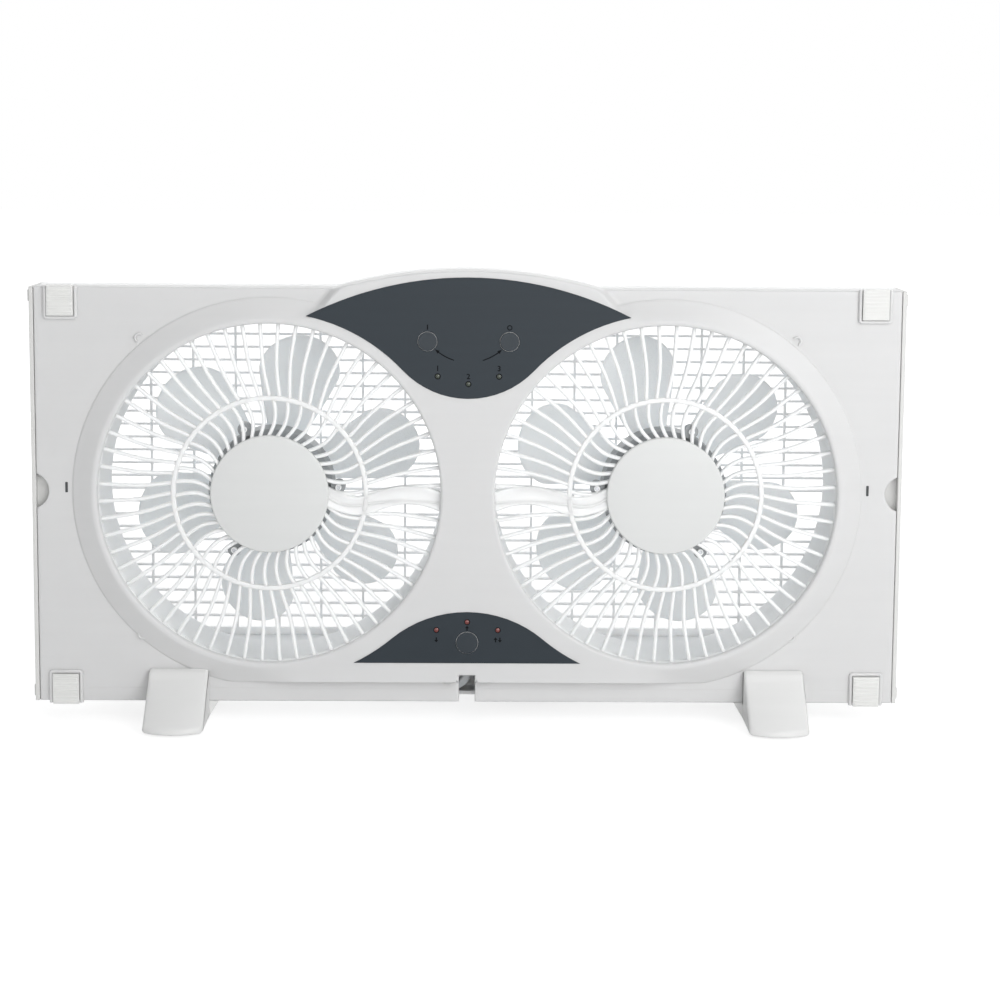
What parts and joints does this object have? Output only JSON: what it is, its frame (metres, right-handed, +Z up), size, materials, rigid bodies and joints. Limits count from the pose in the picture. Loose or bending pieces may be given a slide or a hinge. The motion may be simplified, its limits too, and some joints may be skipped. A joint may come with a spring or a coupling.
{
  "type": "window fan",
  "caption": "Wide twin window fan with swirled front grilles, a raised push-button console, pull-out side extenders, corner lock tabs and clip-on feet.",
  "frame": {"origin": "on the floor, under the middle of the fan's outer box, measured without the free cord", "axes": "+Z up, +X to the right seen from the front, the front grilles face -Y"},
  "size_m": [0.6, 0.183, 0.313],
  "materials": {
    "body_plastic": "fine satin moulding",
    "grille_plastic": "satin white",
    "cap_plastic": "satin",
    "panel_slate": "semi-gloss slate",
    "blade_plastic": "pale blue-grey, slightly glossy",
    "motor_steel": "dark grey",
    "core_steel": "laminated",
    "winding": "enamelled wire",
    "bronze": "sintered",
    "screw_steel": "plated",
    "board": "circuit board",
    "lamp_green": "tinted lens",
    "lamp_red": "tinted lens",
    "sensor_black": "dark lens",
    "capacitor_black": "moulded",
    "cord_white": "soft light grey vinyl",
    "lead_dark": "dark sleeve",
    "tie_dark": "coated wire",
    "brass_blade": "plated",
    "foot_plastic": "fine satin moulding",
    "pad_rubber": "soft",
    "rail_plastic": "satin",
    "guide_metal": "extruded",
    "film": "warm white film",
    "nut_plastic": "satin"
  },
  "bodies": {
    "housing": {"front_frame": "body_plastic", "upper_panel": "panel_slate", "lower_panel": "panel_slate", "rear_housing": "body_plastic", "rear_grille": "body_plastic", "front_grille_left": "grille_plastic", "front_grille_right": "grille_plastic", "hub_cap_left": "cap_plastic", "hub_cap_right": "cap_plastic", "motor_front_shell_left": "motor_steel", "motor_front_shell_right": "motor_steel", "motor_rear_shell_left": "motor_steel", "motor_rear_shell_right": "motor_steel", "stator_left": "winding", "stator_right": "winding", "shaft_bushes": "bronze", "motor_screws": "screw_steel", "motor_lead_left": "lead_dark", "motor_lead_right": "lead_dark", "speed_board": "board", "mode_board": "board", "board_screws": "screw_steel", "speed_lamps": "lamp_green", "mode_lamps": "lamp_red", "remote_sensor": "sensor_black", "run_capacitors": "capacitor_black", "supply_lead": "cord_white", "strain_relief": "cord_white", "power_cord": "cord_white", "cord_coil": "cord_white", "cord_tie": "tie_dark", "plug": "cord_white", "plug_blades": "brass_blade", "foot_left": "foot_plastic", "foot_right": "foot_plastic", "foot_pads": "pad_rubber", "case_screws": "screw_steel", "grille_screws": "screw_steel"},
    "impeller_left": {"impeller_left": "blade_plastic", "shaft_left": "core_steel", "rotor_core_left": "core_steel", "impeller_nut_left": "nut_plastic"},
    "impeller_right": {"impeller_right": "blade_plastic", "shaft_right": "core_steel", "rotor_core_right": "core_steel", "impeller_nut_right": "nut_plastic"},
    "extender_left": {"end_rail_left": "rail_plastic", "guide_rails_left": "guide_metal", "bellows_left": "film"},
    "extender_right": {"end_rail_right": "rail_plastic", "guide_rails_right": "guide_metal", "bellows_right": "film"},
    "lock_tab_top_left": {"lock_tab_top_left": "body_plastic"},
    "lock_tab_top_right": {"lock_tab_top_right": "body_plastic"},
    "lock_tab_bottom_left": {"lock_tab_bottom_left": "body_plastic"},
    "lock_tab_bottom_right": {"lock_tab_bottom_right": "body_plastic"},
    "speed_button": {"speed_button": "panel_slate"},
    "off_button": {"off_button": "panel_slate"},
    "mode_button": {"mode_button": "panel_slate"}
  },
  "joints": [
    {"name": "impeller_left_spin", "type": "hinge", "parent": "housing", "child": "impeller_left", "pos_m": [-0.1355, 0.015, 0.1595], "axis": [0, 1, 0], "continuous": true},
    {"name": "impeller_right_spin", "type": "hinge", "parent": "housing", "child": "impeller_right", "pos_m": [0.1355, 0.015, 0.1595], "axis": [0, 1, 0], "continuous": true},
    {"name": "extender_left_slide", "type": "slide", "parent": "housing", "child": "extender_left", "axis": [-1, 0, 0], "range_m": [0, 0.171], "deforming": ["bellows_left"]},
    {"name": "extender_right_slide", "type": "slide", "parent": "housing", "child": "extender_right", "axis": [1, 0, 0], "range_m": [0, 0.171], "deforming": ["bellows_right"]},
    {"name": "lock_tab_top_left_slide", "type": "slide", "parent": "housing", "child": "lock_tab_top_left", "axis": [0, 0, 1], "range_m": [0, 0.006]},
    {"name": "lock_tab_top_right_slide", "type": "slide", "parent": "housing", "child": "lock_tab_top_right", "axis": [0, 0, 1], "range_m": [0, 0.006]},
    {"name": "lock_tab_bottom_left_slide", "type": "slide", "parent": "housing", "child": "lock_tab_bottom_left", "axis": [0, 0, -1], "range_m": [0, 0.006]},
    {"name": "lock_tab_bottom_right_slide", "type": "slide", "parent": "housing", "child": "lock_tab_bottom_right", "axis": [0, 0, -1], "range_m": [0, 0.006]},
    {"name": "speed_button_press", "type": "slide", "parent": "housing", "child": "speed_button", "axis": [0, 1, 0], "range_m": [0, 0.0012], "stiffness_N_per_m": 300, "springref_m": -0.003},
    {"name": "off_button_press", "type": "slide", "parent": "housing", "child": "off_button", "axis": [0, 1, 0], "range_m": [0, 0.0012], "stiffness_N_per_m": 300, "springref_m": -0.003},
    {"name": "mode_button_press", "type": "slide", "parent": "housing", "child": "mode_button", "axis": [0, 1, 0], "range_m": [0, 0.0012], "stiffness_N_per_m": 300, "springref_m": -0.003}
  ]
}
